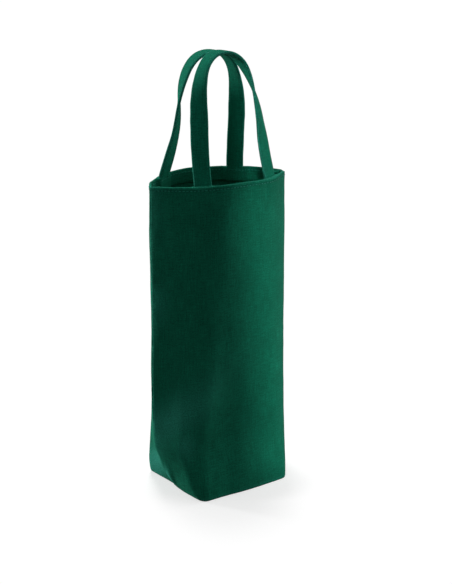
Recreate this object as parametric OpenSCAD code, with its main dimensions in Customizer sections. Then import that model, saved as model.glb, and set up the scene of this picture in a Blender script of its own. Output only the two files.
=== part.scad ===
// Bottle bag of dyed cotton canvas, standing open and empty.
// Two canvas panels are sewn together down both sides and along the middle of the base. The lower
// corners are boxed, so the bag stands on a rectangular base. Each panel carries one strap, folded
// from the same canvas, whose two ends are sewn inside the mouth to make a carrying loop.
//
// The origin is on the floor under the middle of the base. The front panel faces -Y, the side
// seams lie at the two ends of the X axis, and the mouth opens towards +Z.
//
// Cloth does not stretch, so each horizontal cut through the bag has the same girth. A cut is drawn
// by walking along the cloth from the middle of a panel to the side seam: a straight stretch, a
// round one, and a straight one that ends on the seam.

/* [Canvas] */
// Thickness of one layer of canvas
cloth_t = 0.8; // [0.5:0.1:1.2]
// Width of the seam allowance that stands up inside each seam
seam_allow = 8; // [4:0.5:12]
// Depth of the hem that is turned inside the mouth
hem_h = 12; // [6:1:25]

/* [Body] */
// Width of the bag laid flat, half of its girth
flat_w = 170; // [164:1:190]
// Length of the boxed base between its short sides
base_l = 89; // [80:1:100]
// Rounding of the corners of the base
base_r = 5; // [3:0.5:10]
// Height of the boxed corners, up to which the side seams slant outwards
corner_h = 42; // [34:1:60]
// Height over which the square shape of the base fades out of the walls
square_h = 36; // [28:1:48]
// Height of the rim at the middle of a panel
body_h = 271; // [200:1:340]
// How much lower the rim is at the side seams
rim_dip = 4; // [0:0.5:8]

/* [Mouth] */
// Distance between the side seams from the boxed corners up to the mouth
mouth_w = 135; // [120:1:140]
// Length of the straight middle of each rim
mouth_flat = 20; // [8:1:40]
// Angle that the rim turns through between its straight middle and a side seam
mouth_turn = 59; // [54:1:64]

/* [Handles] */
// Width of a strap
strap_w = 15.5; // [10:0.5:20]
// Thickness of a strap, canvas folded into three layers
strap_t = 2.4; // [1.6:0.1:3]
// Distance along the cloth from the middle of a panel to the middle of a strap
strap_s = 36; // [28:0.5:42]
// Length of each strap end that is sewn down inside the mouth
sewn_l = 14; // [8:1:40]
// Height of the loops above the rim
loop_h = 103; // [80:1:160]
// Width of the crown of a loop, between the two points that steer its curve
crown_w = 61; // [40:1:70]
// Space between the two loops where they lean together at the top
loops_gap = 7.5; // [2:0.5:14]
// How far the curve of a leg is steered towards the middle of the loop
leg_in = 3.5; // [0:0.5:8]
// How far the curve of a leg is steered over the mouth
leg_lean = 14; // [8:0.5:18]
// Height over which a leg is steered before it turns into the crown
leg_rise = 56; // [40:1:80]
// Length of strap over which a leg makes its quarter twist
twist_l = 98; // [70:1:110]

/* [Clearances] */
// Space between a strap end and the hem that it is sewn to
seat_gap = 0.3; // [0.2:0.05:0.5]
// Space between a sewn strap end and the loop that rises from it
fold_gap = 0.3; // [0.2:0.1:1]

/* [Hidden] */

panel_color = [0.02, 0.20, 0.14];
strap_color = [0.03, 0.26, 0.19];

// Distance along the cloth from the middle of a panel to its side seam
half_cloth = flat_w / 2;

// How sharply a side seam turns upright at the top of the boxed corner, as a power
seam_power = 8;

// Heights of the cuts near the base, as shares of the boxed corner's height, and of the cuts from
// there to the hem, as shares of the rest of the wall
corner_shares = [0.4, 0.62, 0.82, 1, 1.2, 1.5];
wall_shares = [0.12, 0.28, 0.46, 0.64, 0.82, 1];

// Steps along the cloth on each half of a panel: straight middle, round and straight side
flat_steps = 3;
round_steps = 7;
side_steps = 3;
columns = 2 * (flat_steps + round_steps + side_steps) + 1;

// Steps of a sewn strap end, across its width and down its length
end_across_steps = 4;
end_down_steps = 4;

// Rings along each half of a handle loop
loop_steps = 22;

// Layer of canvas and hem that a strap end lies on, and the middle of the strap's thickness
seat_depth = 2 * cloth_t + seat_gap;
strap_depth = seat_depth + strap_t / 2;

// Height of the rim at a distance s along the cloth from the middle of a panel
function rim_z(s) = body_h - rim_dip * pow(s / half_cloth, 2);

// Height of a point at level z of the middle, so that the levels sink towards the seams with the rim
function level_z(z, s) = z * rim_z(s) / body_h;

// Distance of the side seam from the middle plane at height z
function seam_x(z) =
    let (k = z / corner_h)
    base_l / 2 + (mouth_w - base_l) / 2 * k / pow(1 + pow(k, seam_power), 1 / seam_power);

// Half length of the straight middle at height z
function flat_half(z) =
    let (foot = base_l / 2 - base_r)
    foot + (mouth_flat / 2 - foot) * z / body_h;

// Turn of the cloth between the straight middle and the side seam at height z: square at the base
function turn(z) = mouth_turn + (90 - mouth_turn) * exp(-pow(z / square_h, 2));

// A cut at height z: half straight middle, radius, turn, half depth and height. The radius is the
// one that brings the end of the cloth to the side seam.
function section(z) =
    let (
        f = flat_half(z),
        bend = turn(z),
        turned = bend * PI / 180,
        r = (seam_x(z) - f - (half_cloth - f) * cos(bend)) / (sin(bend) - turned * cos(bend)),
        side = half_cloth - f - r * turned
    )
    [f, r, bend, r * (1 - cos(bend)) + side * sin(bend), z];

// Point of a cut at a distance s along the cloth, at depth d below its outer face
function wall_point(cut, s, d) =
    let (
        along = abs(s),
        f = cut[0],
        r = cut[1],
        angle = min(max(along - f, 0) / r * 180 / PI, cut[2]),
        side = max(along - f - r * cut[2] * PI / 180, 0)
    )
    [
        sign(s) * (min(along, f) + (r - d) * sin(angle) + side * cos(cut[2])),
        r - cut[3] - (r - d) * cos(angle) + side * sin(cut[2])
    ];

// Distances along the cloth of the points on one half of a cut, from the middle to the given end
function half_columns(cut, end) =
    let (f = cut[0], arc = cut[1] * cut[2] * PI / 180, side = end - f - arc)
    concat(
        [for (i = [1 : flat_steps]) f * i / flat_steps],
        [for (i = [1 : round_steps]) f + arc * i / round_steps],
        [for (i = [1 : side_steps]) f + arc + side * i / side_steps]
    );

function all_columns(cut, end) =
    let (half = half_columns(cut, end), last = len(half) - 1)
    concat([for (i = [0 : last]) -half[last - i]], [0], half);

// Where the inner face of the wall meets the seam allowance
function inner_end(cut, d) = half_cloth - (d * cos(cut[2]) + cloth_t) / sin(cut[2]);

// Levels of the panel: the floor, the top of the base's allowance, the boxed corner, the wall and
// the hem, which starts with a step the height of one layer
hem_foot = body_h - hem_h;
corner_top = corner_h * corner_shares[len(corner_shares) - 1];
levels = concat(
    [0, seam_allow],
    [for (share = corner_shares) corner_h * share],
    [for (share = wall_shares) corner_top + (hem_foot - cloth_t - corner_top) * share],
    [hem_foot, body_h]
);
rows = len(levels);
cuts = [for (z = levels) section(z)];

// Thickness of the wall at a level, doubled by the hem
function wall_t(z) = z < hem_foot ? cloth_t : 2 * cloth_t;

function outer_row(cut) =
    [
        for (s = all_columns(cut, half_cloth))
            let (p = wall_point(cut, s, 0)) [p[0], p[1], level_z(cut[4], s)]
    ];

function inner_row(cut) =
    let (d = wall_t(cut[4]))
    [
        for (s = all_columns(cut, inner_end(cut, d)))
            let (p = wall_point(cut, s, d)) [p[0], p[1], max(level_z(cut[4], s), cloth_t)]
    ];

// Free edge of the seam allowance, on its inner side and on the seam's plane, left and then right
function allowance_row(cut) =
    let (x = seam_x(cut[4]) - seam_allow, z = level_z(cut[4], half_cloth))
    [[-x, -cloth_t, z], [-x, 0, z], [x, -cloth_t, z], [x, 0, z]];

// Two triangles for four corners that run clockwise, seen from outside
function quad(a, b, c, d) = [[a, b, c], [a, c, d]];

function joined(lists) = [for (list = lists) each list];

// Places of the panel's points in its list: the outer face, the inner face, the free edges of the
// allowances, and the middles of the floor's two faces
function out_at(row, column) = row * columns + column;
function in_at(row, column) = (rows + row) * columns + column;
function edge_at(row, corner) = 2 * rows * columns + 4 * row + corner;
floor_under = edge_at(rows, 0);
floor_top = floor_under + 1;

// One canvas panel as it is folded and sewn: its wall, its half of the floor, the hem turned inside
// at the mouth, and its layer of the allowances along both side seams and the base seam
module panel() {
    last = columns - 1;
    top = rows - 1;
    points = concat(
        joined([for (cut = cuts) outer_row(cut)]),
        joined([for (cut = cuts) inner_row(cut)]),
        joined([for (cut = cuts) allowance_row(cut)]),
        [for (z = [0, cloth_t]) [0, -cuts[0][3] / 2, z]]
    );
    walls = joined([
        for (k = [0 : top - 1], c = [0 : last - 1])
            concat(
                quad(out_at(k, c), out_at(k + 1, c), out_at(k + 1, c + 1), out_at(k, c + 1)),
                quad(in_at(k, c), in_at(k, c + 1), in_at(k + 1, c + 1), in_at(k + 1, c))
            )
    ]);
    rim = concat(
        joined([
            for (c = [0 : last - 1])
                quad(out_at(top, c), in_at(top, c), in_at(top, c + 1), out_at(top, c + 1))
        ]),
        quad(out_at(top, 0), edge_at(top, 1), edge_at(top, 0), in_at(top, 0)),
        quad(out_at(top, last), in_at(top, last), edge_at(top, 2), edge_at(top, 3))
    );
    side_allowances = joined([
        for (k = [1 : top - 1])
            concat(
                quad(out_at(k, 0), edge_at(k, 1), edge_at(k + 1, 1), out_at(k + 1, 0)),
                quad(edge_at(k, 3), out_at(k, last), out_at(k + 1, last), edge_at(k + 1, 3)),
                quad(in_at(k, 0), in_at(k + 1, 0), edge_at(k + 1, 0), edge_at(k, 0)),
                quad(edge_at(k, 2), edge_at(k + 1, 2), in_at(k + 1, last), in_at(k, last)),
                quad(edge_at(k, 0), edge_at(k + 1, 0), edge_at(k + 1, 1), edge_at(k, 1)),
                quad(edge_at(k, 3), edge_at(k + 1, 3), edge_at(k + 1, 2), edge_at(k, 2))
            )
    ]);
    base_allowance = [
        [out_at(0, 0), out_at(0, last), out_at(1, last), edge_at(1, 3), edge_at(1, 1), out_at(1, 0)],
        [in_at(0, 0), in_at(1, 0), edge_at(1, 0), edge_at(1, 2), in_at(1, last), in_at(0, last)],
        [edge_at(1, 0), edge_at(1, 1), edge_at(1, 3), edge_at(1, 2)]
    ];
    floor_faces = joined([
        for (c = [0 : last])
            let (next = (c + 1) % columns)
            [
                [floor_under, out_at(0, c), out_at(0, next)],
                [floor_top, in_at(0, next), in_at(0, c)]
            ]
    ]);
    polyhedron(points, concat(walls, rim, side_allowances, base_allowance, floor_faces));
}

// A strap's solid between the grids of points on its near face and on its far face. Seen from the
// near side, the columns run to the right and the rows run upwards.
module strap_solid(near, far) {
    length = len(near);
    across = len(near[0]);
    function n(k, c) = k * across + c;
    function f(k, c) = (length + k) * across + c;
    last_k = length - 1;
    last_c = across - 1;
    faces = concat(
        joined([
            for (k = [0 : last_k - 1], c = [0 : last_c - 1])
                concat(
                    quad(n(k, c), n(k + 1, c), n(k + 1, c + 1), n(k, c + 1)),
                    quad(f(k, c), f(k, c + 1), f(k + 1, c + 1), f(k + 1, c))
                )
        ]),
        joined([
            for (k = [0 : last_k - 1])
                concat(
                    quad(n(k, 0), f(k, 0), f(k + 1, 0), n(k + 1, 0)),
                    quad(n(k, last_c), n(k + 1, last_c), f(k + 1, last_c), f(k, last_c))
                )
        ]),
        joined([
            for (c = [0 : last_c - 1])
                concat(
                    quad(n(0, c), n(0, c + 1), f(0, c + 1), f(0, c)),
                    quad(n(last_k, c), f(last_k, c), f(last_k, c + 1), n(last_k, c + 1))
                )
        ])
    );
    polyhedron(concat(joined(near), joined(far)), faces);
}

// Grid of a sewn strap end at depth d below the outer face of the panel, which it follows
function sewn_grid(middle, d) =
    [
        for (k = [0 : end_down_steps])
            let (cut = section(body_h - sewn_l + sewn_l * k / end_down_steps))
            [
                for (c = [0 : end_across_steps])
                    let (
                        s = middle + strap_w * (c / end_across_steps - 1 / 2),
                        p = wall_point(cut, s, d)
                    )
                    [p[0], p[1], level_z(cut[4], s)]
            ]
    ];

// End of a strap, flat against the hem inside the mouth of the front panel
module sewn_end(side) {
    strap_solid(sewn_grid(side * strap_s, seat_depth), sewn_grid(side * strap_s, seat_depth + strap_t));
}

// Point of a cubic curve at share t, steered by its two middle points
function curve(p, t) =
    pow(1 - t, 3) * p[0] + 3 * pow(1 - t, 2) * t * p[1] + 3 * (1 - t) * t * t * p[2] + pow(t, 3) * p[3];

// Direction of that curve, as a unit vector
function heading(p, t) =
    unit(pow(1 - t, 2) * (p[1] - p[0]) + 2 * (1 - t) * t * (p[2] - p[1]) + t * t * (p[3] - p[2]));

function unit(v) = v / norm(v);

// Smooth step from 0 to 1
function ease(x) = let (k = min(max(x, 0), 1)) k * k * (3 - 2 * k);

// Middle line of the right half of the front loop, from the mouth up to the top of the crown
rim_cut = section(body_h);
root = wall_point(rim_cut, strap_s, strap_depth);
root_z = rim_z(strap_s - strap_w / 2) + fold_gap;
top_y = -(loops_gap + strap_w) / 2;
top_z = body_h + loop_h;
half_loop = [
    [root[0], root[1], root_z],
    [root[0] - leg_in, root[1] + leg_lean, root_z + leg_rise],
    [crown_w / 2, top_y, top_z],
    [0, top_y, top_z]
];
middle_line = [for (i = [0 : loop_steps]) curve(half_loop, i / loop_steps)];

// Length of strap from the mouth to each point of the middle line
function lengths(points, i = 1, total = 0) =
    i == len(points) ? [total]
    : concat([total], lengths(points, i + 1, total + norm(points[i] - points[i - 1])));
strap_lengths = lengths(middle_line);

// Direction of the strap's width at a point: along the rim at the mouth, turning to lie across the
// bag at the crown. Most of the twist is in the upper half of a leg.
rim_turn = min((strap_s - rim_cut[0]) / rim_cut[1] * 180 / PI, rim_cut[2]);
function width_way(i) =
    let (
        share = strap_lengths[i] / twist_l,
        angle = rim_turn + (90 - rim_turn) * ease(share * share),
        level = [cos(angle), sin(angle), 0],
        along = heading(half_loop, i / loop_steps)
    )
    unit(level - (level * along) * along);

// Two corners of the loop's cross-section at a point, at a depth below its middle towards the
// inside of the bag
function ring(i, depth) =
    let (
        across = width_way(i),
        inwards = unit(cross(heading(half_loop, i / loop_steps), across)),
        middle = middle_line[i] + inwards * depth
    )
    [middle - across * strap_w / 2, middle + across * strap_w / 2];

function flipped(points) = [for (p = points) [-p[0], p[1], p[2]]];

// Whole face of the loop, from the left root over the crown to the right root
function loop_grid(depth) =
    concat(
        [for (i = [0 : loop_steps]) flipped(ring(i, depth))],
        [for (i = [1 : loop_steps]) ring(loop_steps - i, depth)]
    );

// Carrying loop of the front panel: one flat strap that rises from both strap ends, gives each leg
// a quarter twist and lies flat over the crown. Its inner face is the near one.
module loop() {
    strap_solid(loop_grid(strap_t / 2), loop_grid(-strap_t / 2));
}

module front_panel() {
    color(panel_color) panel();
}

module back_panel() {
    color(panel_color) mirror([0, 1, 0]) panel();
}

module front_left_strap_end() {
    color(strap_color) sewn_end(-1);
}

module front_right_strap_end() {
    color(strap_color) sewn_end(1);
}

module back_left_strap_end() {
    color(strap_color) mirror([0, 1, 0]) sewn_end(-1);
}

module back_right_strap_end() {
    color(strap_color) mirror([0, 1, 0]) sewn_end(1);
}

module front_handle() {
    color(strap_color) loop();
}

module back_handle() {
    color(strap_color) mirror([0, 1, 0]) loop();
}

front_panel();
back_panel();
front_left_strap_end();
front_right_strap_end();
back_left_strap_end();
back_right_strap_end();
front_handle();
back_handle();
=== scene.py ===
import math

import bmesh
import bpy
from mathutils import Matrix, Vector, noise


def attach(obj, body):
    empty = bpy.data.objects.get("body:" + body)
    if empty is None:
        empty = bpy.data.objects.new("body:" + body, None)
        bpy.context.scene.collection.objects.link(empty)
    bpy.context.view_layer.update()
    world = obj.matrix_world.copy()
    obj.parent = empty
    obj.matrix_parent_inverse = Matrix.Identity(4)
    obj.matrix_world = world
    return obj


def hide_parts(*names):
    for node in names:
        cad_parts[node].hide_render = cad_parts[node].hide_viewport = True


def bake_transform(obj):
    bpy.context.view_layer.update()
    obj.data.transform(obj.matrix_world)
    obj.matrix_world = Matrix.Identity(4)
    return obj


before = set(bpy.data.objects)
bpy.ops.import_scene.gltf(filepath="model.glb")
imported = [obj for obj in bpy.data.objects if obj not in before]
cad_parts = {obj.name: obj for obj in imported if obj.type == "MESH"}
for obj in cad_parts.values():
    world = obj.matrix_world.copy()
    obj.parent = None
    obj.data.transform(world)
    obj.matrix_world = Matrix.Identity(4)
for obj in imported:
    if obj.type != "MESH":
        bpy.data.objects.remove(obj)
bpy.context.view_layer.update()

# Millimetres and degrees, as in the frame's own drawing. Each cut through the bag is drawn by
# walking along the cloth from the middle of a panel to the side seam.
BASE_L, BASE_R = 89.0, 5.0  # length of the base and radius of its corners
HALF = 85.0  # from the middle of a panel to the side seam, along the cloth
# Heights of the boxed corner, of the change from square to pointed cuts, and of the whole body
CORNER_H, SQUARE_H, BODY_H = 42.0, 36.0, 271.0
CORNER_SHARP = 8  # how suddenly the side seam turns upright over the boxed corner
# The mouth between its seams, its straight middle, and its turn towards the seam
MOUTH_W, MOUTH_FLAT, MOUTH_TURN = 135.0, 20.0, 59.0
CLOTH, ALLOW, HEM = 0.8, 8.0, 12.0  # thickness of the cloth, seam allowance, turned hem
FOLD = 0.9  # outer radius of the fold at the rim
SHOULDER = 0.9  # outer radius of the cloth where it turns into a seam
FOOT = 2.0  # outer radius of the cloth around the base
SEAM_GAP = 0.01  # from the seam's plane to the cloth on either side of it
STRAP_T = 2.4  # thickness of a strap
SEWN = 14.0  # height over which the sewn strap ends press the rim out
TUCKED = 10.0  # length of a strap's end between the wall and the turned hem
POCKET = 3.5  # how much deeper the turned hem lies where it covers a strap's end
SEAT = 2 * FOLD + 0.15 + STRAP_T / 2  # depth of a strap's middle below the outer face
STRAP_ROW_IN = 2.2  # from a strap's edge to its row of stitches
HEM_ROW_DOWN = 3.2  # from the rim to the hem's row of stitches
HEM_ROW_END = 3.5  # from the side seam to the end of that row

# How the two panels and straps differ from their drawing, measured on the photo.
# Rim: its dip at the left and the right seam, its drop, and its waves as (height, place, width)
RIM = {
    "front": {"dip": (2.9, 3.4), "drop": 0.0, "waves": ((2.4, 50, 15),)},
    "back": {"dip": (2.9, 3.4), "drop": 1.8, "waves": ((-1.9, -50, 15), (1.2, -3, 14))},
}
# Straps: place of each foot on the rim; how far the leg goes in, up and back as it leaves the rim;
# half width, height, depth and shift of the crown; the strap's width and the length over which it
# twists; for each side a bow (inward, height, reach) and more twist (degrees, distance, reach)
LEGS = {
    "front": {"left": 39.2, "right": 30.6, "in": 1.0, "rise": 69.0, "crown": 24.5, "top": 103.4,
              "lean": 15.0, "crown_y": -11.3, "shift": -3.9, "width": 14.6, "twist": 101.0,
              "bow": {-1: (1.1, 50, 24), 1: (2.3, 26, 28)},
              "turn": {-1: (), 1: ((6, 47, 12), (-3, 85, 15))}},
    "back": {"left": 34.2, "right": 42.6, "in": 9.1, "rise": 46.0, "crown": 37.5, "top": 100.9,
             "lean": 12.1, "crown_y": -16.6, "shift": 4.8, "width": 14.6, "twist": 92.0,
             "bow": {-1: (3.0, 42, 24), 1: (0.0, 40, 24)},
             "turn": {-1: ((6, 38, 15), (-9, 90, 18)), 1: ()}},
}


def clamp(x, low, high):
    return min(max(x, low), high)


def ease(x):
    x = clamp(x, 0.0, 1.0)
    return x * x * (3 - 2 * x)


def bump(x, middle, width):
    return math.exp(-(((x - middle) / width) ** 2))


def hill(shape, x):
    """A bump of the given height, middle and width."""
    height, middle, width = shape
    return height * bump(x, middle, width)


MIRROR = {"front": 1, "back": -1}  # both panels are drawn as the front one


def mirrored(way, mirror):
    return Vector((way.x, way.y * mirror, way.z))


def seam_x(z):
    k = max(z, 0) / CORNER_H
    return BASE_L / 2 + (MOUTH_W - BASE_L) / 2 * k / (1 + k**CORNER_SHARP) ** (1 / CORNER_SHARP)


def cut(z):
    """Half straight middle, radius, turn and half depth of the cut at height z."""
    foot = BASE_L / 2 - BASE_R
    flat = foot + (MOUTH_FLAT / 2 - foot) * z / BODY_H
    turn = math.radians(MOUTH_TURN + (90 - MOUTH_TURN) * math.exp(-((z / SQUARE_H) ** 2)))
    round_x = seam_x(z) - flat - (HALF - flat) * math.cos(turn)
    r = round_x / (math.sin(turn) - turn * math.cos(turn))
    side = HALF - flat - r * turn
    return flat, r, turn, r * (1 - math.cos(turn)) + side * math.sin(turn)


def wall(section, s, depth):
    """Point of a cut at distance s along the cloth and at a depth below its outer face, with the
    direction that faces outwards there."""
    flat, r, turn, half_depth = section
    along = abs(s)
    angle = clamp((along - flat) / r, 0, turn)
    side = max(along - flat - r * turn, 0)
    sign = -1 if s < 0 else 1
    x = min(along, flat) + (r - depth) * math.sin(angle) + side * math.cos(turn)
    y = r - half_depth - (r - depth) * math.cos(angle) + side * math.sin(turn)
    return Vector((sign * x, y, 0)), Vector((sign * math.sin(angle), -math.cos(angle), 0))


def rim_z(panel, s):
    k = (s / HALF) ** 2
    dip = RIM[panel]["dip"][0 if s < 0 else 1]
    waves = sum(hill(wave, s) for wave in RIM[panel]["waves"])
    return BODY_H - dip * k - RIM[panel]["drop"] * (1 - k) + waves


# The grid of a panel: columns from one side seam's allowance to the other, rows from the base
# seam's allowance over the floor, the base fold, the wall and the rim to the hem's lower edge
MIDDLE_COLS, SIDE_COLS, SHOULDER_COLS, FIN_COLS = 30, 27, 5, 4
HALF_COLS = MIDDLE_COLS + SIDE_COLS + SHOULDER_COLS + FIN_COLS
SEAM_ROWS, FLOOR_ROWS, FOOT_ROWS, WALL_ROWS, FOLD_ROWS, HEM_ROWS = 6, 27, 4, 160, 6, 7
FLOOR_TOP = SEAM_ROWS + FLOOR_ROWS
FOOT_TOP = FLOOR_TOP + FOOT_ROWS
WALL_TOP = FOOT_TOP + WALL_ROWS
FOLD_TOP = WALL_TOP + FOLD_ROWS
ROWS = FOLD_TOP + HEM_ROWS
FLOOR_HALF = BASE_L / 2
BASE_DEPTH = cut(0)[3]
RIM_RUN = FOOT * math.pi / 2 + BODY_H - FOOT  # from the base fold to the rim, along the cloth
# Wear, as strength, place and width across the edge: along the rim, the side seams and the base.
# Along the rim's fold it is in part a painted highlight.
RIM_WEAR, SEAM_WEAR, BASE_WEAR = (0.5, RIM_RUN, 0.8), (0.8, 1.0, 1.2), (0.5, FOOT * 0.8, 2.5)
SEAM_WEAR_GAP = (0.5, 105, 60)  # where up the seam that is weaker
FLOOR_WEAR = (0.4, 0, 0.04)  # on the floor, across its depth of 1
# How far the seams stand out, at which height and how wide: the corner seams over the base, where
# each side falls away like a roof, and the left seam again above that
ROOF, LEFT_SEAM = (3.0, 15, 13), (0.9, 92, 38)
SEAM_REACH = 14  # the distance along the cloth over which this fades
FIN_FOOT = 0.9  # height over the floor at which the side seams' allowances begin


def row_course(row):
    """Height, depth below the outer face and distance along the cloth of a row above the floor."""
    if row <= FOOT_TOP:
        a = (row - FLOOR_TOP) / FOOT_ROWS * math.pi / 2
        return FOOT * (1 - math.cos(a)), FOOT * (1 - math.sin(a)), FOOT * a
    start, top = FOOT * math.pi / 2, BODY_H - FOLD
    if row <= WALL_TOP:
        z = FOOT + (top - FOOT) * (row - FOOT_TOP) / WALL_ROWS
        return z, 0.0, start + z - FOOT
    start += top - FOOT
    if row <= FOLD_TOP:
        a = (row - WALL_TOP) / FOLD_ROWS * math.pi
        return top + FOLD * math.sin(a), FOLD * (1 - math.cos(a)), start + FOLD * a
    down = (row - FOLD_TOP) / HEM_ROWS * HEM
    return top - down, 2 * FOLD, start + FOLD * math.pi + down


def ripple(x, y, seed):
    return noise.noise(Vector((x, y, seed)))


# Places on a panel where the cloth stands out or is painted paler as painted light, measured on the
# photo. Each is a strength (millimetres for a bulge), then the place and width along the cloth and
# up the wall.
BULGES = {
    "front": (
        (3.0, -65, 25, 0, 30),  # the left-hand side bows out over the base
        (2.5, 5, 34, 0, 30),  # and the middle
        (1.6, -50, 20, 80, 45),  # the belly above the left-hand side
    ),
    "back": ((1.9, -52, 20, 14, 20),),
}
# Painted light, as paler cloth: three spots on the front's left-hand side, a painted highlight on
# the crest beside both seams of the front over the boxed corners, and a slanting band
PAINTED_LIGHT_SPOTS = (
    (0.85, -55, 9, 49, 13),
    (0.5, -78, 8, 172, 17),
    (0.4, -82, 8, 256, 26),
)
PAINTED_CREST_LIGHT = (2.4, HALF - 3.8, 3.4, 10, 11)  # beside both seams of the front
PAINTED_FOLD_LIGHT = (1.15, 0, 17, 62, 36)  # across a line that slants over the front's left-hand side
CREASED = (0.65, -74, 9, 165, 45)  # beside the front's left-hand seam
# Along the cloth: the swell beside both seams, the ridges over the boxed corners and the front's
# right-hand side, which stands out. Up the wall: where the back's left-hand edge lies out and in
SEAM_SWELL, RIGHT_SIDE = (0.25, HALF - 6, 3.5), (0.6, 64, 15)
RIDGE = {"front": (2.2, HALF - 7, 3.5), "back": (0.4, HALF - 4.5, 3.0)}
EDGE_OUT, EDGE_IN = (0.2, 120, 60), (0.4, 245, 30)
STRAP_SWELL = 0.55  # how far the sewn strap ends press the rim out
RIPPLE_SEED = {"front": 3.7, "back": 11.3}


def spot(place, s, z):
    strength, at_s, wide, at_z, high = place
    return strength * bump(s, at_s, wide) * bump(z, at_z, high)


def ripples(panel, s, z):
    """The slack of the cloth, from broad bulges to the fine waves of the hem: millimetres outwards
    times a noise of a length along the cloth and up the wall."""
    seed = RIPPLE_SEED[panel]
    free = ease(z / 30) * ease((BODY_H - z) / 25)
    soft = 1.1 * ripple(s / 46, z / 70, seed) + 0.45 * ripple(s / 17, z / 30, seed + 5)
    fine = 0.10 * ripple(s / 5, z / 6, seed + 9)
    pucker = 0.42 * bump(abs(s), HALF, 9) * ripple(s / 14, z / 5.5, seed + 2)
    hem = 0.22 * bump(z, BODY_H - 6, 5) * ripple(s / 4.5, z / 9, seed + 4)
    foot = 0.5 * bump(z, 8, 9) * ripple(s / 15, z / 20, seed + 6)
    return soft * free + fine + pucker * ease(z / 25) + hem + foot


def beside_seams(panel, s, z):
    """The cloth swells beside the side seams and stands up along the corner seams."""
    out = hill(SEAM_SWELL, abs(s)) * ease(z / 60) * (1 - bump(z, 100, 50))
    ridge = hill(RIDGE[panel], abs(s))
    if panel == "back":
        out += (hill(EDGE_OUT, z) - hill(EDGE_IN, z)) * bump(s, -HALF, 12)
        ridge = ridge * bump(z, 12, 20) * ease((z + 1) / 5)
    else:
        out += hill(RIGHT_SIDE, s) * ease((z - 30) / 40)
        out += spot(CREASED, s, z) * ripple((s + 0.5 * z) / 7, (z - 0.5 * s) / 16, 8.1)
        ridge = ridge * bump(z, 9, 12) * z / (z + 4)
    return out + ridge


def sag(panel, s, z):
    """How far the cloth of a wall stands out from its drawn place."""
    bulges = sum(spot(place, s, z) for place in BULGES[panel])
    return ripples(panel, s, z) + beside_seams(panel, s, z) + bulges


def beside_strap(panel, s):
    """Distance along the cloth to the edge of the nearer strap foot, less than 0 behind it."""
    legs = LEGS[panel]
    return min(abs(s + legs["left"]), abs(s - legs["right"])) - legs["width"] / 2


def strap_swell(panel, s, z):
    """The sewn strap ends press the rim out a little."""
    across = 1 - ease((beside_strap(panel, s) + 1.0) / 3.0)
    return STRAP_SWELL * across * ease((z - (BODY_H - SEWN - 3)) / 5)


def pocket(panel, s):
    """How much deeper than elsewhere the turned hem lies here, over the sewn strap ends."""
    return POCKET * (1 - ease((beside_strap(panel, s) - 0.3) / 3.5))


def painted_light_places(panel, s, z):
    """Painted light, as places painted paler: the boxed corners and, on the front, a slanting fold
    and three spots on the left."""
    if panel == "back":
        return 1.6 * bump(abs(s), HALF - 32 + 0.7 * z, 16) * (1 - ease((z - 22) / 22))
    corner = spot(PAINTED_CREST_LIGHT, abs(s), z)
    fold = spot(PAINTED_FOLD_LIGHT, 0.7 * (s + 138 - z), z)
    return max(corner, fold, *(spot(place, s, z) for place in PAINTED_LIGHT_SPOTS))


def panel_point(panel, col, row):
    """Place, cloth coordinates and paleness of one grid point of a panel, for the front side. The
    paleness is the scuffed edges, a painted highlight along the rim's fold and painted light in
    places.
    """
    if row < FLOOR_TOP:
        return floor_point(panel, col, row)
    j, sign = abs(col), (-1 if col < 0 else 1)
    z, depth, v = row_course(row)
    section = cut(z)
    turn = section[2]
    shoulder_s = HALF - (SEAM_GAP + SHOULDER * (1 + math.cos(turn))) / math.sin(turn)
    hem_s = HALF - (depth * math.cos(turn) + SEAM_GAP) / math.sin(turn)
    last_s = shoulder_s if row <= WALL_TOP else hem_s
    if j <= MIDDLE_COLS:
        s = FLOOR_HALF * j / MIDDLE_COLS
    else:
        s = FLOOR_HALF + (last_s - FLOOR_HALF) * min((j - MIDDLE_COLS) / SIDE_COLS, 1)
    place, out = wall(section, sign * s, depth)
    u = s
    beyond = j - MIDDLE_COLS - SIDE_COLS
    if beyond > 0:
        a = math.pi - turn
        k = min(beyond / SHOULDER_COLS, 1)
        heading = turn + a * k
        x = abs(place.x) + SHOULDER * (math.sin(heading) - math.sin(turn))
        y = place.y + SHOULDER * (math.cos(turn) - math.cos(heading))
        fin = max(beyond - SHOULDER_COLS, 0) / FIN_COLS * ALLOW
        place = Vector((sign * (x - fin), y, 0))
        out = Vector((sign * math.sin(heading), -math.cos(heading), 0))
        u = s + SHOULDER * a * k + fin
    signed = sign * min(s, HALF)
    fade = 1 - ease(beyond / SHOULDER_COLS) if beyond > 0 else 1
    level = z * rim_z(panel, signed) / BODY_H
    lift = (sag(panel, signed, z) + strap_swell(panel, signed, z)) * fade
    if row > WALL_TOP:
        out = wall(section, signed, 0)[1]
        lift -= pocket(panel, signed) * ease((row - WALL_TOP) / FOLD_ROWS) * fade
    place += out * lift
    near_seam = math.exp((abs(signed) - HALF) / SEAM_REACH)
    place.x += sign * near_seam * hill(ROOF, z) * z / (z + 5)
    if sign < 0:
        place.x -= near_seam * hill(LEFT_SEAM, z)
    # Paleness: scuffed rim, seams and base, with a painted highlight along the rim's fold, and the
    # places of painted light
    wear_and_light = max(
        hill(RIM_WEAR, v),
        hill(SEAM_WEAR, u - shoulder_s) * (1 - hill(SEAM_WEAR_GAP, z)),
        hill(BASE_WEAR, v),
        painted_light_places(panel, signed, z),
    )
    if row <= FOOT_TOP and beyond > 0:
        level = max(level, FIN_FOOT)
    return Vector((place.x, place.y, max(level, 0))), (sign * u, v), wear_and_light


def floor_edge(panel, col):
    """Point of the wall's lowest row, at z = 0."""
    return panel_point(panel, col, FLOOR_TOP)[0]


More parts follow.
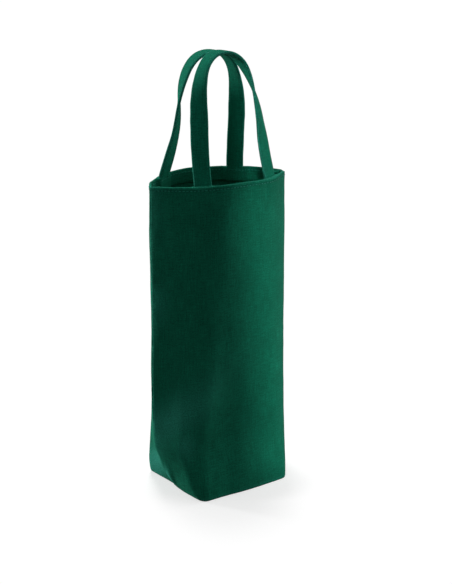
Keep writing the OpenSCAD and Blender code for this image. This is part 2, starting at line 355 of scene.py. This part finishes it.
def floor_point(panel, col, row):
    """The floor is spanned between the base fold, the two short sides and the base seam."""
    side = clamp(col, -MIDDLE_COLS, MIDDLE_COLS)
    k = clamp((FLOOR_TOP - row) / FLOOR_ROWS, 0, 1)
    across = (side / MIDDLE_COLS + 1) / 2
    front = floor_edge(panel, side)
    step = round(k * SIDE_COLS)
    left, right = floor_edge(panel, -(MIDDLE_COLS + step)), floor_edge(panel, MIDDLE_COLS + step)
    last = MIDDLE_COLS + SIDE_COLS
    end_l, end_r = floor_edge(panel, -last), floor_edge(panel, last)
    seam = end_l.lerp(end_r, across)
    corner_l, corner_r = floor_edge(panel, -MIDDLE_COLS), floor_edge(panel, MIDDLE_COLS)
    place = (
        front * (1 - k) + seam * k + left * (1 - across) + right * across
        - corner_l * (1 - k) * (1 - across) - corner_r * (1 - k) * across
        - end_l * k * (1 - across) - end_r * k * across
    )
    inner = k * (1 - k) * 4 * (1 - abs(2 * across - 1))
    place.z = inner * (0.5 + 0.5 * ripple(place.x / 22, place.y / 22, 21.0))
    v = -(FLOOR_TOP - row) / FLOOR_ROWS * BASE_DEPTH if row >= SEAM_ROWS else 0
    if row < SEAM_ROWS:
        up, bend = SEAM_ROWS - row, SEAM_ROWS // 2
        a = min(up / bend, 1) * math.pi / 2
        fin = max(up - bend, 0) / bend * (ALLOW - SHOULDER)
        place.y += SHOULDER * math.sin(a)
        place.z = SHOULDER * (1 - math.cos(a)) + fin
        v = -BASE_DEPTH - SHOULDER * a - fin
    return place, (FLOOR_HALF * side / MIDDLE_COLS, v), hill(FLOOR_WEAR, k)


def finish_mesh(name, bm, material, solid=0.0, smooth=True):
    mesh = bpy.data.meshes.new(name)
    bm.to_mesh(mesh)
    bm.free()
    mesh.materials.append(material)
    mesh.shade_smooth() if smooth else mesh.shade_flat()
    obj = bpy.data.objects.new(name, mesh)
    bpy.context.scene.collection.objects.link(obj)
    if solid:
        thick = obj.modifiers.new("cloth_thickness", "SOLIDIFY")
        thick.thickness = solid * 0.001
        thick.offset = -1
    return obj


def make_panel(name, panel, material):
    mirror = MIRROR[panel]
    bm = bmesh.new()
    uv = bm.loops.layers.uv.new("cloth")
    wear_and_light_mask = bm.verts.layers.float.new("wear_and_light")
    bmesh.ops.create_grid(bm, x_segments=2 * HALF_COLS, y_segments=ROWS, size=1, calc_uvs=True)
    flat = {}
    gone = set()
    for v in bm.verts:
        col = round(v.co.x * HALF_COLS)
        row = round((v.co.y + 1) / 2 * ROWS)
        place, cloth, wear_and_light = panel_point(panel, col * mirror, row)
        v.co = mirrored(place, mirror) * 0.001
        v[wear_and_light_mask] = wear_and_light
        flat[v] = (cloth[0] * 0.001, cloth[1] * 0.001)
        if (row < FLOOR_TOP and abs(col) > MIDDLE_COLS) or (
            row > WALL_TOP and abs(col) > MIDDLE_COLS + SIDE_COLS
        ):
            gone.add(v)
    for face in bm.faces:
        for loop in face.loops:
            loop[uv].uv = flat[loop.vert]
    bmesh.ops.delete(bm, geom=list(gone), context="VERTS")
    bmesh.ops.remove_doubles(bm, verts=bm.verts, dist=0.00002)
    bmesh.ops.recalc_face_normals(bm, faces=bm.faces)
    bm.faces.ensure_lookup_table()
    # The face in the middle of the wall tells whether the faces look outwards
    middle = Vector((0, -0.04 * mirror, 0.15))
    nearest = min(bm.faces, key=lambda face: (face.calc_center_median() - middle).length)
    if nearest.normal.y * mirror > 0:
        bmesh.ops.reverse_faces(bm, faces=bm.faces)
    return finish_mesh(name, bm, material, solid=CLOTH)


LEG_FOOT = 1.0  # from the rim down to the foot of a leg
TUCKED_TOP = 1.5  # from the foot down to the highest point of the tucked end
LEG_STEPS, TUCKED_STEPS = 84, 6
SMOOTHED, SMOOTHINGS = range(4, 18), 6  # the points about the rim, where the leg leaves the wall


def leg_curve(panel, side):
    """Middle line of half a strap in front coordinates: sewn end, leg and half the crown."""
    legs = LEGS[panel]
    s = side * legs["left" if side < 0 else "right"]
    mouth = cut(BODY_H)
    root, _ = wall(mouth, s, SEAT)
    root.z = rim_z(panel, s) - LEG_FOOT
    sewn = []
    for i in range(TUCKED_STEPS + 1):
        up = (TUCKED - TUCKED_TOP) * i / TUCKED_STEPS - TUCKED
        point, _ = wall(cut(BODY_H - LEG_FOOT + up), s, SEAT)
        point.z = root.z + up
        sewn.append(point)
    top = BODY_H - LEG_FOOT + legs["top"]
    p = [
        root,
        root + Vector((-side * legs["in"], legs["lean"], legs["rise"])),
        Vector((side * legs["crown"] + legs["shift"], legs["crown_y"], top)),
        Vector((legs["shift"], legs["crown_y"], top)),
    ]
    free = []
    for i in range(LEG_STEPS + 1):
        t = i / LEG_STEPS
        k = 1 - t
        free.append(p[0] * k**3 + p[1] * 3 * k**2 * t + p[2] * 3 * k * t * t + p[3] * t**3)
    for point in free:
        point.x -= side * hill(legs["bow"][side], point.z - root.z)
    line = sewn + free
    for _ in range(SMOOTHINGS):
        smooth = line[:]
        for i in SMOOTHED:
            smooth[i] = line[i] * 0.5 + (line[i - 1] + line[i + 1]) * 0.25
        line = smooth
    flat, r, turn, _ = mouth
    rim_angle = min((abs(s) - flat) / r, turn)
    return line, rim_angle


def strap_course(panel):
    """Rings of a whole strap, from its left sewn end over the crown to the right one: place, width
    direction, outer direction and distance along the strap."""
    twist = LEGS[panel]["twist"]
    points, across = [], []
    for side in (-1, 1):
        line, rim_angle = leg_curve(panel, side)
        run, levels = -TUCKED, []
        for i, point in enumerate(line):
            run += (point - line[i - 1]).length if i else 0
            angle = rim_angle + (math.pi / 2 - rim_angle) * ease((max(run, 0) / twist) ** 2)
            for degrees, height, reach in LEGS[panel]["turn"][side]:
                angle += math.radians(degrees) * bump(run, height, reach)
            levels.append(Vector((side * math.cos(angle), math.sin(angle), 0)))
        if side < 0:
            points, across = line, levels
        else:
            points = points + line[-2::-1]
            across = across + levels[-2::-1]
    rings, run = [], 0.0
    for i, point in enumerate(points):
        before, after = points[max(i - 1, 0)], points[min(i + 1, len(points) - 1)]
        run += (point - points[i - 1]).length if i else 0
        along = (after - before).normalized()
        width = (across[i] - along * across[i].dot(along)).normalized()
        rings.append((point, width, along.cross(width).normalized(), run))
    return rings


BAND_POINTS = 32


def band_profile(width):
    """Outline of the folded strap, as (across, out), and its length."""
    half, thick = width / 2, STRAP_T / 2
    straight, bend = 2 * (half - thick), math.pi * thick
    total = 2 * (straight + bend)
    outline = []
    for i in range(BAND_POINTS):
        d = total * i / BAND_POINTS
        if d < straight:
            a, b = -straight / 2 + d, thick
        elif d < straight + bend:
            t = (d - straight) / thick
            a, b = straight / 2 + thick * math.sin(t), thick * math.cos(t)
        elif d < 2 * straight + bend:
            a, b = straight / 2 - (d - straight - bend), -thick
        else:
            t = (d - 2 * straight - bend) / thick
            a, b = -straight / 2 - thick * math.sin(t), -thick * math.cos(t)
        outline.append((a, b))
    return outline, total


def band_puff(a, width):
    """The strap is held thin by its two rows of stitches and is a little thicker elsewhere."""
    return 0.12 - 0.22 * bump(abs(a), width / 2 - STRAP_ROW_IN, 0.7)


def make_strap(name, panel, material):
    mirror = MIRROR[panel]
    rings = strap_course(panel)
    width = LEGS[panel]["width"]
    outline, total = band_profile(width)
    around, along = len(outline), len(rings) - 1
    bm = bmesh.new()
    uv = bm.loops.layers.uv.new("cloth")
    wear_and_light_mask = bm.verts.layers.float.new("wear_and_light")
    bmesh.ops.create_grid(bm, x_segments=around, y_segments=along, size=1, calc_uvs=True)
    flat = {}
    for v in bm.verts:
        i = round((v.co.x + 1) / 2 * around)
        k = round((v.co.y + 1) / 2 * along)
        a, b = outline[i % around]
        point, width_way, out, run = rings[k]
        swell = band_puff(a, width) * (1 if b > 0 else -1) * min(abs(b) / (STRAP_T / 2), 1)
        waver = 0.25 * ripple(run / 9, a / 20, 31.0) * mirror
        place = point + width_way * (a + waver) + out * (b + swell)
        v.co = mirrored(place, mirror) * 0.001
        # Paler along both edges: scuffed, and in part a painted highlight on the folded edges
        v[wear_and_light_mask] = ease((abs(a) - (width / 2 - 1.3)) / 1.0)
        flat[v] = (total * i / around * 0.001, run * 0.001)
    for face in bm.faces:
        for loop in face.loops:
            loop[uv].uv = flat[loop.vert]
    bmesh.ops.remove_doubles(bm, verts=bm.verts, dist=0.000001)
    bmesh.ops.holes_fill(bm, edges=[e for e in bm.edges if e.is_boundary])
    bmesh.ops.recalc_face_normals(bm, faces=bm.faces)
    return finish_mesh(name, bm, material)


STITCH_PITCH, STITCH_LENGTH = 3.1, 2.5
STITCH_OUT, STITCH_FLAT = 0.35, 0.8  # how far a stitch stands out and its height, by its thickness


def stitch_row(name, course, material, thick):
    """A row of sewn stitches along a course of (place, outward direction), in millimetres."""
    bm = bmesh.new()
    spans = [(b[0] - a[0]).length for a, b in zip(course, course[1:])]
    total, reach, i, done = sum(spans), STITCH_PITCH / 2, 0, 0.0
    while reach < total - STITCH_PITCH / 2:
        while done + spans[i] < reach:
            done += spans[i]
            i += 1
        (p, out), (q, _) = course[i], course[i + 1]
        along = (q - p).normalized()
        middle = p.lerp(q, (reach - done) / spans[i]) + out * thick * STITCH_OUT
        side = out.cross(along).normalized()
        turn = Matrix((along, side, out)).transposed().to_4x4()
        size = Matrix.Diagonal((STITCH_LENGTH / 2, thick, thick * STITCH_FLAT, 1))
        lying = turn @ size @ Matrix.Rotation(math.pi / 2, 4, "Y")
        bmesh.ops.create_uvsphere(
            bm, u_segments=6, v_segments=5, radius=0.001,
            matrix=Matrix.Translation(middle * 0.001) @ lying,
        )
        reach += STITCH_PITCH
    bmesh.ops.recalc_face_normals(bm, faces=bm.faces)
    return finish_mesh(name, bm, material)


# --- materials ------------------------------------------------------------------------------------


def new_material(name):
    material = bpy.data.materials.new(name)
    material.use_nodes = True
    tree = material.node_tree
    tree.nodes.clear()
    return material, tree


def wire(tree, kind, **settings):
    node = tree.nodes.new(kind)
    for key, value in settings.items():
        if key.startswith("in_"):
            socket = node.inputs[int(key[3:])]
            if isinstance(value, bpy.types.NodeSocket):
                tree.links.new(value, socket)
            else:
                socket.default_value = value
        else:
            setattr(node, key, value)
    return node


def sums(tree, operation, a, b=0.0, c=None):
    node = tree.nodes.new("ShaderNodeMath")
    node.operation = operation
    for socket, value in zip(node.inputs, (a, b, c)):
        if isinstance(value, bpy.types.NodeSocket):
            tree.links.new(value, socket)
        elif value is not None:
            socket.default_value = value
    return node.outputs[0]


def mixed(tree, share, a, b, blend="MIX"):
    node = tree.nodes.new("ShaderNodeMix")
    node.data_type = "RGBA"
    node.blend_type = blend
    for socket, value in ((node.inputs[0], share), (node.inputs[6], a), (node.inputs[7], b)):
        if isinstance(value, bpy.types.NodeSocket):
            tree.links.new(value, socket)
        else:
            socket.default_value = value
    return node.outputs[2]


def stretched_noise(tree, cloth, across, along, detail=2.0):
    """Noise on the flat cloth whose grains are so many millimetres wide and long."""
    mapping = wire(tree, "ShaderNodeMapping", in_0=cloth)
    mapping.inputs["Scale"].default_value = (1000 / across, 1000 / along, 1)
    grain = wire(tree, "ShaderNodeTexNoise", in_0=mapping.outputs[0])
    grain.inputs["Scale"].default_value = 1.0
    grain.inputs["Detail"].default_value = detail
    return grain.outputs[0]


def grey(tree, level):
    return wire(tree, "ShaderNodeCombineColor", in_0=level, in_1=level, in_2=level).outputs[0]


def relief(tree, height, strength, distance):
    """Normals of a surface that is raised by the given height."""
    raised = wire(tree, "ShaderNodeBump")
    raised.inputs["Strength"].default_value = strength
    raised.inputs["Distance"].default_value = distance
    tree.links.new(height, raised.inputs["Height"])
    return raised.outputs[0]


YARN = 0.62  # width of a yarn in millimetres
YARN_ROUND = 0.35  # how flat its rounding is: 1 for a sine, 0 for a flat band
CROSSING = 0.25  # how softly one yarn gives way to the other
PALENESS = 0.75  # how much of the pale colour shows where the cloth is scuffed or painted paler as painted light


def weave(tree, cloth):
    """Height of plain-woven yarns that go over and under each other, from 0 to 1."""
    wobble = sums(tree, "SUBTRACT", stretched_noise(tree, cloth, 9, 9), 0.5)
    wobble = sums(tree, "MULTIPLY", wobble, 0.9)
    split = wire(tree, "ShaderNodeSeparateXYZ", in_0=cloth)
    u = sums(tree, "MULTIPLY_ADD", split.outputs[0], 1000 / YARN * math.pi, wobble)
    v = sums(tree, "MULTIPLY_ADD", split.outputs[1], 1000 / YARN * math.pi, wobble)
    sin_u, sin_v = sums(tree, "SINE", u), sums(tree, "SINE", v)
    over = sums(tree, "MULTIPLY", sin_u, sin_v)
    warp_up = wire(tree, "ShaderNodeMapRange",
                   in_0=over, in_1=-CROSSING, in_2=CROSSING).outputs[0]
    a, b = sums(tree, "ABSOLUTE", sin_u), sums(tree, "ABSOLUTE", sin_v)
    warp = sums(tree, "MULTIPLY", a, sums(tree, "POWER", b, YARN_ROUND))
    weft = sums(tree, "MULTIPLY", b, sums(tree, "POWER", a, YARN_ROUND))
    return sums(tree, "ADD", sums(tree, "MULTIPLY", warp, warp_up),
                sums(tree, "MULTIPLY", weft, sums(tree, "SUBTRACT", 1.0, warp_up)))


def canvas_material(name, base, light, seed=0.0, seam_at=0.0):
    """Plain-woven cotton with thick and thin yarns, nap, flecks, a mottled dye, paler places that
    the mesh marks, scuffed or painted light, and, where asked, painted shade in the dent of a sewn
    row."""
    material, tree = new_material(name)
    coords = wire(tree, "ShaderNodeUVMap", uv_map="cloth").outputs[0]
    shifted = wire(tree, "ShaderNodeMapping", in_0=coords)
    shifted.inputs["Location"].default_value = (seed, seed * 0.7, 0)
    cloth = shifted.outputs[0]
    lift = weave(tree, cloth)
    slub_warp = stretched_noise(tree, cloth, 0.8, 14)
    slub_weft = stretched_noise(tree, cloth, 9, 0.8)
    slubs = sums(tree, "ADD", slub_warp, slub_weft)
    mottle = stretched_noise(tree, cloth, 26, 34, 3.0)
    specks = stretched_noise(tree, cloth, 1.7, 1.7, 1.0)
    fleck = wire(tree, "ShaderNodeMapRange", in_0=specks, in_1=0.64, in_2=0.76).outputs[0]
    nap = stretched_noise(tree, cloth, 0.9, 1.1, 2.0)

    tone = sums(tree, "MULTIPLY_ADD", slubs, 0.8, 0.2)
    # Each shades the dye by its strength, and to this tone where it is 0
    shades = ((nap, 1.25, 0.375), (mottle, 0.5, 0.75), (lift, 0.35, 0.78), (fleck, -0.25, 1.0))
    for grain, strength, least in shades:
        tone = sums(tree, "MULTIPLY", tone, sums(tree, "MULTIPLY_ADD", grain, strength, least))
    dyed = mixed(tree, 1.0, (*base, 1), grey(tree, tone), "MULTIPLY")
    # Paler where the mesh marks it: scuffed edges, painted highlights along the rim and the strap
    # edges, and painted light on the panels
    wear_and_light_mask = wire(tree, "ShaderNodeAttribute", attribute_name="wear_and_light").outputs["Fac"]
    pale = sums(tree, "MULTIPLY", wear_and_light_mask, sums(tree, "MULTIPLY_ADD", nap, 1.8, -0.3))
    pale = sums(tree, "MULTIPLY", pale, PALENESS)
    colour = mixed(tree, pale, dyed, (*light, 1))

    if seam_at:
        # The sewn row pulls the cloth in: a dented line at this distance along the cloth, darkened
        # by painted shade
        along = wire(tree, "ShaderNodeSeparateXYZ", in_0=coords).outputs[1]
        off = sums(tree, "ABSOLUTE", sums(tree, "SUBTRACT", along, seam_at))
        dent = wire(tree, "ShaderNodeMapRange", interpolation_type="SMOOTHSTEP", in_0=off,
                    in_1=0.0003, in_2=0.0011, in_3=1.0, in_4=0.0).outputs[0]
        shade = sums(tree, "MULTIPLY_ADD", dent, -0.3, 1.0)
        colour = mixed(tree, 1.0, colour, grey(tree, shade), "MULTIPLY")
        lift = sums(tree, "MULTIPLY_ADD", dent, -2.5, lift)
    height = sums(tree, "MULTIPLY_ADD", slubs, 0.5, lift)
    normal = relief(tree, height, 0.55, 0.00016)
    surface = wire(tree, "ShaderNodeBsdfPrincipled")
    tree.links.new(colour, surface.inputs["Base Color"])
    tree.links.new(sums(tree, "MULTIPLY_ADD", lift, -0.12, 0.95), surface.inputs["Roughness"])
    tree.links.new(normal, surface.inputs["Normal"])
    surface.inputs["Specular IOR Level"].default_value = 0.02
    surface.inputs["Sheen Weight"].default_value = 0.02
    surface.inputs["Sheen Roughness"].default_value = 0.45
    surface.inputs["Sheen Tint"].default_value = (0.35, 0.9, 0.7, 1)
    wire(tree, "ShaderNodeOutputMaterial", in_0=surface.outputs[0])
    return material


def thread_material(name, base):
    material, tree = new_material(name)
    coords = wire(tree, "ShaderNodeTexCoord").outputs["Object"]
    fuzz = stretched_noise(tree, coords, 0.5, 0.5)
    tone = grey(tree, sums(tree, "MULTIPLY_ADD", fuzz, 0.8, 0.6))
    ply = wire(tree, "ShaderNodeTexWave", in_0=coords)
    ply.inputs["Scale"].default_value = 900.0
    ply.inputs["Distortion"].default_value = 1.5
    normal = relief(tree, ply.outputs["Fac"], 0.4, 0.0001)
    surface = wire(tree, "ShaderNodeBsdfPrincipled")
    tree.links.new(mixed(tree, 1.0, (*base, 1), tone, "MULTIPLY"), surface.inputs["Base Color"])
    tree.links.new(sums(tree, "MULTIPLY_ADD", fuzz, 0.3, 0.5), surface.inputs["Roughness"])
    tree.links.new(normal, surface.inputs["Normal"])
    surface.inputs["Specular IOR Level"].default_value = 0.1
    wire(tree, "ShaderNodeOutputMaterial", in_0=surface.outputs[0])
    return material


GREEN, STRAP_GREEN = (0.0055, 0.135, 0.078), (0.0037, 0.134, 0.078)
# The pale colour shows on scuffed cloth and where light is painted in
PALE_GREEN = (0.035, 0.30, 0.22)
HEM_ROW = (RIM_RUN - HEM_ROW_DOWN) * 0.001
panel_canvas = canvas_material("panel_canvas", GREEN, PALE_GREEN, seam_at=HEM_ROW)
strap_canvas = canvas_material("strap_canvas", STRAP_GREEN, PALE_GREEN, seed=0.31)
green_thread = thread_material("green_thread", (0.006, 0.16, 0.1))
hem_thread = thread_material("hem_thread", (0.014, 0.21, 0.145))

# --- pieces ---------------------------------------------------------------------------------------

front_canvas = make_panel("front_canvas", "front", panel_canvas)
back_canvas = make_panel("back_canvas", "back", panel_canvas)
front_strap = make_strap("front_strap", "front", strap_canvas)
back_strap = make_strap("back_strap", "back", strap_canvas)


HEM_STEPS = 110


def hem_course(panel, inside):
    """Course of the stitches below the rim, on the outer face or on the hem's."""
    mirror = MIRROR[panel]
    course = []
    z = BODY_H - HEM_ROW_DOWN
    section = cut(z)
    depth = 2 * FOLD if inside else 0
    for i in range(-HEM_STEPS, HEM_STEPS + 1):
        s = i / HEM_STEPS * (HALF - HEM_ROW_END)
        place, out = wall(section, s, depth)
        place += out * (sag(panel, s, z) + strap_swell(panel, s, z))
        place.z = z * rim_z(panel, s) / BODY_H
        if inside:
            place -= out * pocket(panel, s)
            out = -out
        course.append((mirrored(place, mirror), mirrored(out, mirror)))
    return course


def strap_row(panel, edge, face):
    """Course of the stitches along one edge of a strap, on its outer (1) or inner (-1) face."""
    mirror = MIRROR[panel]
    width = LEGS[panel]["width"]
    course = []
    for point, width_way, out, _ in strap_course(panel):
        a = edge * (width / 2 - STRAP_ROW_IN)
        place = point + width_way * a + out * face * (STRAP_T / 2 + band_puff(a, width))
        course.append((mirrored(place, mirror), mirrored(out * face, mirror)))
    return course


pieces = {"front": (front_canvas, front_strap), "back": (back_canvas, back_strap)}
for panel, (canvas, strap) in pieces.items():
    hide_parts(f"{panel}_panel")
    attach(canvas, "bag")
    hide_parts(f"{panel}_handle", f"{panel}_left_strap_end", f"{panel}_right_strap_end")
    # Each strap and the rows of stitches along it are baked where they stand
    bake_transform(strap)
    for face, label in ((False, "outer"), (True, "inner")):
        name = f"{panel}_hem_stitches_{label}"
        row = stitch_row(name, hem_course(panel, face), hem_thread, thick=0.3)
        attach(row, "bag")
    for edge, side in ((-1, "near"), (1, "far")):
        for face, label in ((1, "outer"), (-1, "inner")):
            name = f"{panel}_strap_stitches_{side}_{label}"
            row = stitch_row(name, strap_row(panel, edge, face), green_thread, thick=0.2)
            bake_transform(row)

# --- camera, light and floor ----------------------------------------------------------------------

# The camera was solved from the photo: its direction, how far back and up it stands, the point to
# the right and up that it looks at, in metres, and its lens
CAMERA_AZIMUTH, CAMERA_BACK, CAMERA_UP = -35.28, 1.1231, 0.4931
AIM_RIGHT, AIM_UP = 0.0070, 0.1683
SENSOR, LENS = 36, 84.11
turned = math.radians(CAMERA_AZIMUTH)
back_way = Vector((math.sin(turned), -math.cos(turned), 0))  # from the bag towards the camera
right_way = Vector((math.cos(turned), math.sin(turned), 0))
up_way = Vector((0, 0, 1))
camera = bpy.data.objects.new("camera", bpy.data.cameras.new("camera"))
bpy.context.scene.collection.objects.link(camera)
camera.location = back_way * CAMERA_BACK + up_way * CAMERA_UP
target = right_way * AIM_RIGHT + up_way * AIM_UP
camera.rotation_mode = "QUATERNION"
camera.rotation_quaternion = (target - camera.location).to_track_quat("-Z", "Y")
camera.data.sensor_width, camera.data.lens = SENSOR, LENS
camera.data.clip_start, camera.data.clip_end = 0.05, 20
bpy.context.scene.camera = camera


BAG_MIDDLE = Vector((0, 0, 0.15))  # what the lights face
BEAM_SPREAD = 3.2  # of the flagged lights, in degrees


def area_light(name, place, size, watts):
    """A soft box that faces the middle of the bag."""
    lamp = bpy.data.lights.new(name, "AREA")
    lamp.shape = "RECTANGLE"
    lamp.size, lamp.size_y = size
    lamp.energy = watts
    obj = bpy.data.objects.new(name, lamp)
    bpy.context.scene.collection.objects.link(obj)
    obj.location = place
    obj.rotation_mode = "QUATERNION"
    obj.rotation_quaternion = (BAG_MIDDLE - Vector(place)).to_track_quat("-Z", "Y")
    return obj


def studio_light(name, azimuth, elevation, distance, size, watts):
    """A soft box seen from the bag in the given direction: azimuth 0 faces the front panel and 90
    the right-hand side seam."""
    a, e = math.radians(azimuth), math.radians(elevation)
    way = Vector((math.sin(a) * math.cos(e), -math.cos(a) * math.cos(e), math.sin(e)))
    return area_light(name, BAG_MIDDLE + way * distance, size, watts)


def flagged_light(name, size, watts, right, up):
    """A near parallel beam from the camera's side, moved to the right and up."""
    obj = studio_light(name, CAMERA_AZIMUTH, elevation=20, distance=0.9, size=size, watts=watts)
    obj.data.spread = math.radians(BEAM_SPREAD)
    obj.location += right_way * right + up_way * up
    return obj


studio_light("key_light", azimuth=80, elevation=8, distance=1.6, size=(0.8, 0.7), watts=17.5)
# The photo's edge of light down the bag: this beam falls only on the right-hand part of the front,
# from the rim down to just above the base
flagged = flagged_light("flagged_light", size=(0.40, 0.244), watts=0.23, right=0.2283, up=-0.008)
flagged.rotation_quaternion @= Matrix.Rotation(math.radians(4.5), 3, "Z").to_quaternion()
# A small one for the right-hand leg of the front strap
flagged_light("loop_light", size=(0.026, 0.105), watts=0.0065, right=0.041, up=0.170)
studio_light("edge_light", azimuth=-150, elevation=3, distance=2.0, size=(0.3, 0.5), watts=40)
studio_light("left_fill", azimuth=-50, elevation=15, distance=2.0, size=(0.7, 1.2), watts=1.5)
# A strip overhead that reaches back from above the bag, so its shadow falls towards the camera
strip_place = -back_way * 0.36 - right_way * 0.14 + up_way * 1.35
strip = area_light("top_strip", strip_place, size=(0.85, 0.36), watts=12.0)
strip_axes = (-back_way, up_way.cross(-back_way), up_way)
strip.rotation_quaternion = Matrix(strip_axes).transposed().to_quaternion()


def background_rays(tree):
    """1 for rays that see the backdrop: the camera's, and those that a glossy or clear piece sends
    on."""
    rays = wire(tree, "ShaderNodeLightPath").outputs
    seen = sums(tree, "MAXIMUM", rays["Is Camera Ray"], rays["Is Glossy Ray"])
    return sums(tree, "MAXIMUM", seen, rays["Is Transmission Ray"])


WHITE = (1, 1, 1, 1)
SURROUNDINGS = 0.23  # light of the studio on the bag, where the camera sees a white backdrop
world = bpy.data.worlds.new("studio")
bpy.context.scene.world = world
world.use_nodes = True
tree = world.node_tree
tree.nodes.clear()
rays = background_rays(tree)
seen = wire(tree, "ShaderNodeBackground", in_0=WHITE, in_1=1.0)
soft = wire(tree, "ShaderNodeBackground", in_0=WHITE, in_1=SURROUNDINGS)
either = wire(tree, "ShaderNodeMixShader", in_0=rays, in_1=soft.outputs[0], in_2=seen.outputs[0])
wire(tree, "ShaderNodeOutputWorld", in_0=either.outputs[0])


def fade_out(tree, place, near, far):
    """0 nearer than one distance, 1 beyond the other and soft in between."""
    away = wire(tree, "ShaderNodeVectorMath", operation="LENGTH", in_0=place).outputs["Value"]
    fade = wire(tree, "ShaderNodeMapRange", interpolation_type="SMOOTHSTEP",
                in_0=away, in_1=near, in_2=far)
    return fade.outputs[0]


# The floor is pale to the camera and fades into the white backdrop. The light that it throws back
# on the bag is that of a grey studio floor. The shadow is kept around the base and, as in the
# photo, in an oval that reaches towards the camera.
GREY_PAINT, PALE_PAINT = (0.13, 0.13, 0.13, 1), (0.43, 0.43, 0.43, 1)
PALE_GLOW, BACKDROP_GLOW = 0.65, 1.02
# Distances from the middle of each within which the shadow shows and beyond which it is gone
BASE_SHADOW, OVAL_SHADOW = (0.062, 0.100), (0.020, 0.085)
OVAL_MIDDLE, OVAL_LENGTH = right_way * 0.005 + back_way * 0.060, 1.333
floor_material, tree = new_material("floor_paint")
rays = background_rays(tree)
ground = wire(tree, "ShaderNodeTexCoord").outputs["Object"]
oval = wire(tree, "ShaderNodeMapping", vector_type="TEXTURE", in_0=ground)
oval.inputs["Location"].default_value = OVAL_MIDDLE
oval.inputs["Rotation"].default_value = (0, 0, turned)
oval.inputs["Scale"].default_value = (1, OVAL_LENGTH, 1)
around_base = fade_out(tree, ground, *BASE_SHADOW)
far = sums(tree, "MINIMUM", around_base, fade_out(tree, oval.outputs[0], *OVAL_SHADOW))
grey_paint = wire(tree, "ShaderNodeBsdfDiffuse", in_0=GREY_PAINT)
pale_paint = wire(tree, "ShaderNodeBsdfDiffuse", in_0=PALE_PAINT)
lift = wire(tree, "ShaderNodeEmission", in_0=WHITE, in_1=PALE_GLOW)
near = wire(tree, "ShaderNodeAddShader", in_0=pale_paint.outputs[0], in_1=lift.outputs[0])
backdrop = wire(tree, "ShaderNodeEmission", in_0=WHITE, in_1=BACKDROP_GLOW)
shown = wire(tree, "ShaderNodeMixShader",
             in_0=far, in_1=near.outputs[0], in_2=backdrop.outputs[0])
either = wire(tree, "ShaderNodeMixShader",
              in_0=rays, in_1=grey_paint.outputs[0], in_2=shown.outputs[0])
wire(tree, "ShaderNodeOutputMaterial", in_0=either.outputs[0])
bm = bmesh.new()
bmesh.ops.create_grid(bm, x_segments=1, y_segments=1, size=6)
floor = finish_mesh("floor", bm, floor_material, smooth=False)

bpy.context.scene.view_settings.view_transform = "Standard"
